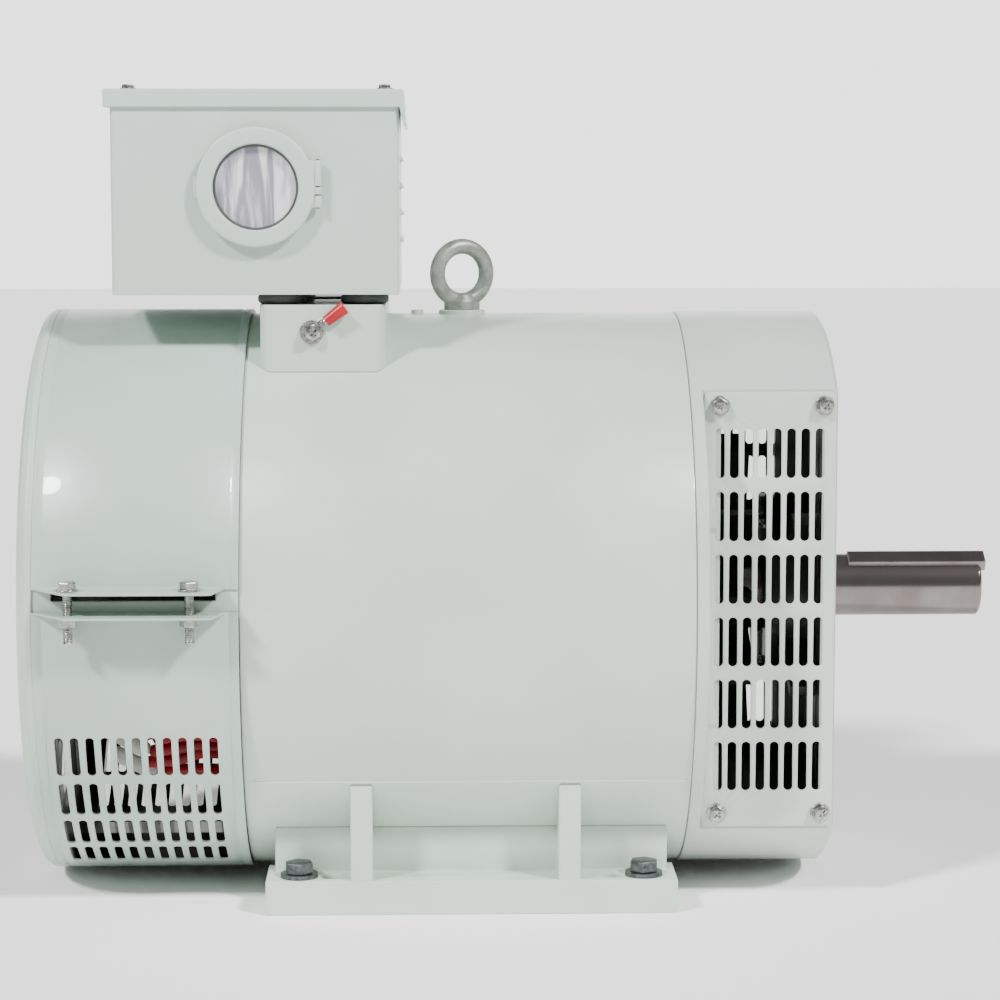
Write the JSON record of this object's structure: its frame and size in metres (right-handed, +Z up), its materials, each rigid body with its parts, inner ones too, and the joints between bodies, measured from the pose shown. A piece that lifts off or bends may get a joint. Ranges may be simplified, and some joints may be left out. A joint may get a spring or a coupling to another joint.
{
  "type": "generator alternator head",
  "caption": "Foot-mounted brush-type AC generator head with a keyed shaft, louvred end covers, a top terminal box with a meter window, and a lifting eye.",
  "frame": {"origin": "centre of the free foot hole pattern, on the plane that the feet stand on", "axes": "+X along the shaft towards its keyed end, +Z up, the meter window faces -Y"},
  "size_m": [0.639, 0.4252, 0.524],
  "materials": {
    "body_paint": "satin pale grey-green machine enamel over cast iron and steel",
    "sheet_paint": "satin pale grey-green enamel on thin steel sheet",
    "turned_steel": "bright turned steel with a light oil film",
    "zinc_steel": "bright zinc plated steel fasteners",
    "dark_bolt": "dark phosphated steel bolt",
    "bare_forging": "thinly painted forged steel",
    "silicon_steel": "varnished electrical steel laminations",
    "copper_winding": "varnished enamelled copper winding",
    "brass": "turned brass",
    "carbon": "carbon brush block",
    "bakelite": "moulded phenolic insulation",
    "rubber": "black moulded rubber",
    "red_insulation": "red PVC and silicone insulation",
    "pale_sleeve": "white woven sleeve",
    "clear_film": "clear plastic film",
    "black_case": "black moulded meter case",
    "white_dial": "white printed dial",
    "fan_casting": "cast aluminium fan"
  },
  "bodies": {
    "frame": {"stator_shell": "body_paint", "box_pedestal": "body_paint", "rear_end_bracket": "body_paint", "drive_end_bracket": "body_paint", "foot_front": "body_paint", "foot_back": "body_paint", "rear_bearing_cover": "body_paint", "drive_bearing_cap": "body_paint", "upper_cover_band": "sheet_paint", "lower_cover_band": "sheet_paint", "grille_front": "sheet_paint", "grille_back": "sheet_paint", "terminal_box": "sheet_paint", "box_lid": "sheet_paint", "window_hinge_leaf": "sheet_paint", "drive_bearing_outer_ring": "turned_steel", "rear_bearing_outer_ring": "turned_steel", "brush_spring_a": "turned_steel", "brush_spring_b": "turned_steel", "band_bolts": "zinc_steel", "band_nuts": "zinc_steel", "grille_screws": "zinc_steel", "lid_screws": "zinc_steel", "ground_screw": "zinc_steel", "ground_washer": "zinc_steel", "ground_lug": "zinc_steel", "box_mount_bolts": "zinc_steel", "bearing_cover_screws": "zinc_steel", "bracket_bolts": "zinc_steel", "hold_down_bolts": "dark_bolt", "hold_down_washers": "dark_bolt", "eye_bolt": "bare_forging", "stator_core": "silicon_steel", "stator_windings": "copper_winding", "terminal_studs": "brass", "brush_holder": "bakelite", "terminal_board": "bakelite", "bridge_rectifier": "bakelite", "rubber_mounts": "rubber", "field_leads": "red_insulation", "ground_lug_sleeve": "red_insulation", "lead_sleeves": "pale_sleeve", "meter_case": "black_case", "meter_dial": "white_dial"},
    "rotor": {"rotor_shaft": "turned_steel", "shaft_key": "turned_steel", "rotor_core": "silicon_steel", "field_coils": "copper_winding", "cooling_fan": "fan_casting", "slip_ring_hub": "bakelite", "slip_rings": "brass", "drive_bearing_inner_ring": "turned_steel", "drive_bearing_balls": "turned_steel", "rear_bearing_inner_ring": "turned_steel", "rear_bearing_balls": "turned_steel"},
    "window": {"window_ring": "sheet_paint", "window_pane": "clear_film", "window_hinge_pin": "turned_steel"},
    "brush_a": {"carbon_brush_a": "carbon"},
    "brush_b": {"carbon_brush_b": "carbon"}
  },
  "joints": [
    {"name": "rotor_spin", "type": "hinge", "parent": "frame", "child": "rotor", "pos_m": [0, 0, 0.19], "axis": [1, 0, 0], "continuous": true},
    {"name": "window_swing", "type": "hinge", "parent": "frame", "child": "window", "pos_m": [-0.0961, -0.1116, 0.4594], "axis": [0, 0, 1], "range_deg": [0, 110]},
    {"name": "brush_a_slide", "type": "slide", "parent": "frame", "child": "brush_a", "axis": [0, 0, 1], "range_m": [0, 0.008], "stiffness_N_per_m": 300, "springref_m": -0.01, "deforming": ["brush_spring_a"]},
    {"name": "brush_b_slide", "type": "slide", "parent": "frame", "child": "brush_b", "axis": [0, 0, 1], "range_m": [0, 0.008], "stiffness_N_per_m": 300, "springref_m": -0.01, "deforming": ["brush_spring_b"]}
  ]
}
